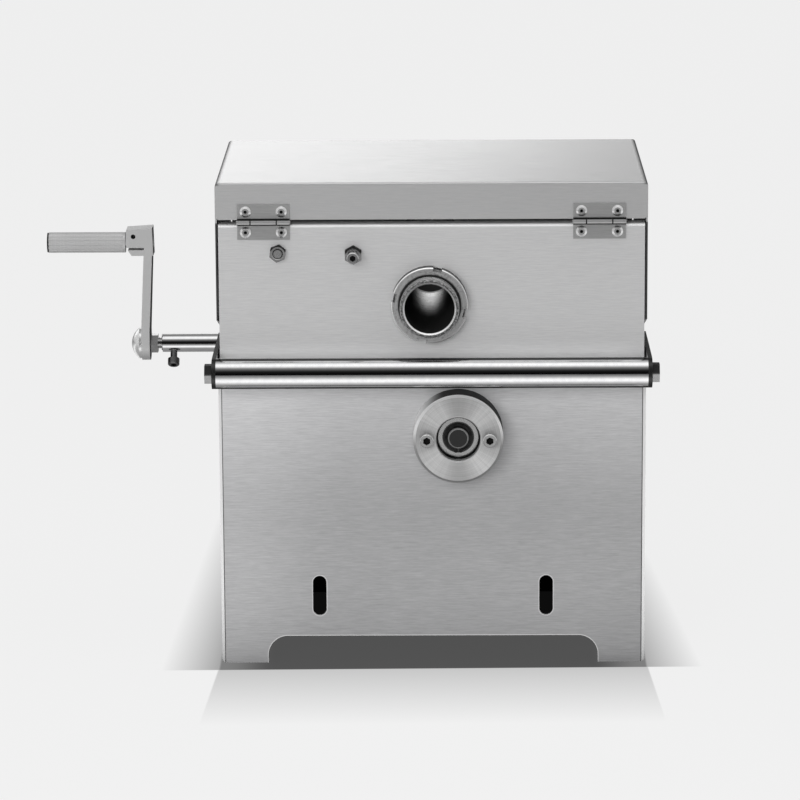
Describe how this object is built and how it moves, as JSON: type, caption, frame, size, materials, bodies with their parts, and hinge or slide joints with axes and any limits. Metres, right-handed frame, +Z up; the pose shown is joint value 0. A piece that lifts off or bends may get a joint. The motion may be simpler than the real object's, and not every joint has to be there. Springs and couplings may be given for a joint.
{
  "type": "hand-crank sausage tying machine",
  "caption": "Table-top stainless cabinet with a hinged hood, a side crank and a gear train that turns a hollow through-spindle; a guide bar stands in front of the outlet.",
  "frame": {"origin": "middle of the whole object's footprint, on the table", "axes": "+X to the right seen from the hinge side, along the crank's axis; +Y from the hinge side to the front with the winding disc, along the spindle; +Z up"},
  "size_m": [0.4474, 0.264, 0.3564],
  "materials": {
    "panel_steel": "brushed stainless sheet with fine level streaks",
    "plate_steel": "smooth satin stainless sheet",
    "hood_steel": "bright satin stainless sheet",
    "hinge_steel": "satin stainless strip",
    "polished_bar": "polished round tube",
    "turned_steel": "turned and brushed steel",
    "satin_aluminium": "turned satin aluminium",
    "screw_steel": "bright stainless screws and nuts",
    "rivet_aluminium": "bright aluminium blind rivets",
    "bearing_steel": "ground bearing steel",
    "spring_steel": "dark spring steel",
    "gear_steel": "machined gear steel, lightly oiled",
    "bush_bronze": "sintered bronze",
    "plug_plastic": "black plastic"
  },
  "bodies": {
    "cabinet": {"rear_lower_panel": "panel_steel", "rear_upper_plate": "plate_steel", "front_lower_panel": "panel_steel", "front_upper_plate": "plate_steel", "left_side_panel": "panel_steel", "right_side_panel": "panel_steel", "hinge_body_leaves": "hinge_steel", "hinge_pins": "hinge_steel", "body_rivets": "rivet_aluminium", "guide_bar": "polished_bar", "bar_end_plugs": "plug_plastic", "bar_straps": "turned_steel", "bar_bolts": "screw_steel", "side_screws": "screw_steel", "rear_bearing_flange": "satin_aluminium", "front_bearing_flange": "satin_aluminium", "flange_screws": "screw_steel", "flange_nuts": "screw_steel", "main_bearing_outer_rings": "bearing_steel", "rear_spindle_housing": "satin_aluminium", "front_spindle_housing": "satin_aluminium", "housing_snap_rings": "spring_steel", "flange_snap_rings": "spring_steel", "spindle_bearing_outer_rings": "bearing_steel", "drive_bracket": "plate_steel", "crankshaft_bushes": "bush_bronze", "cross_shaft_bushes": "bush_bronze", "spool_post": "turned_steel", "post_nut": "screw_steel", "tension_screw": "screw_steel", "tension_nuts": "screw_steel", "tension_discs": "turned_steel"},
    "hood": {"hood_shell": "hood_steel", "hinge_hood_leaves": "hinge_steel", "hood_rivets": "rivet_aluminium"},
    "crank": {"crankshaft": "turned_steel", "crank_gear": "gear_steel", "crankshaft_snap_ring": "spring_steel", "clamp_screw": "screw_steel", "crank_stud": "screw_steel", "crank_nut": "screw_steel", "crank_arm": "turned_steel", "arm_cap": "turned_steel", "grip_spindle": "screw_steel"},
    "grip": {"grip": "satin_aluminium", "grip_end_cap": "plug_plastic"},
    "cross_drive": {"cross_shaft": "turned_steel", "cross_gear": "gear_steel", "cross_bevel_pinion": "gear_steel"},
    "main_drive": {"main_shaft": "turned_steel", "main_gear": "gear_steel", "main_bevel_gear": "gear_steel", "main_bearing_inner_rings": "bearing_steel", "main_snap_rings": "spring_steel"},
    "spindle": {"hollow_spindle": "turned_steel", "spindle_gear": "gear_steel", "slotted_nuts": "turned_steel", "winding_disc": "plate_steel", "thread_eyelet": "screw_steel", "spindle_bearing_inner_rings": "bearing_steel"}
  },
  "joints": [
    {"name": "hood_hinge", "type": "hinge", "parent": "cabinet", "child": "hood", "pos_m": [0.06075, -0.0984, 0.3283], "axis": [1, 0, 0], "range_deg": [0, 140]},
    {"name": "spindle_turn", "type": "hinge", "parent": "cabinet", "child": "spindle", "pos_m": [0.05925, 0.004, 0.2685], "axis": [0, 1, 0], "continuous": true},
    {"name": "main_turn", "type": "hinge", "parent": "cabinet", "child": "main_drive", "pos_m": [0.07955, 0.004, 0.17263], "axis": [0, 1, 0], "continuous": true},
    {"name": "cross_turn", "type": "hinge", "parent": "cabinet", "child": "cross_drive", "pos_m": [-0.03925, 0.005, 0.17263], "axis": [1, 0, 0], "continuous": true},
    {"name": "crank_turn", "type": "hinge", "parent": "cabinet", "child": "crank", "pos_m": [-0.09395, -0.006, 0.2214], "axis": [1, 0, 0], "continuous": true},
    {"name": "grip_spin", "type": "hinge", "parent": "crank", "child": "grip", "pos_m": [-0.19625, -0.006, 0.2976], "axis": [1, 0, 0], "continuous": true}
  ],
  "couplings": [
    {"joint": "main_turn", "follows": "spindle_turn", "ratio": -0.75},
    {"joint": "cross_turn", "follows": "spindle_turn", "ratio": -0.75},
    {"joint": "crank_turn", "follows": "spindle_turn", "ratio": 0.42188}
  ]
}
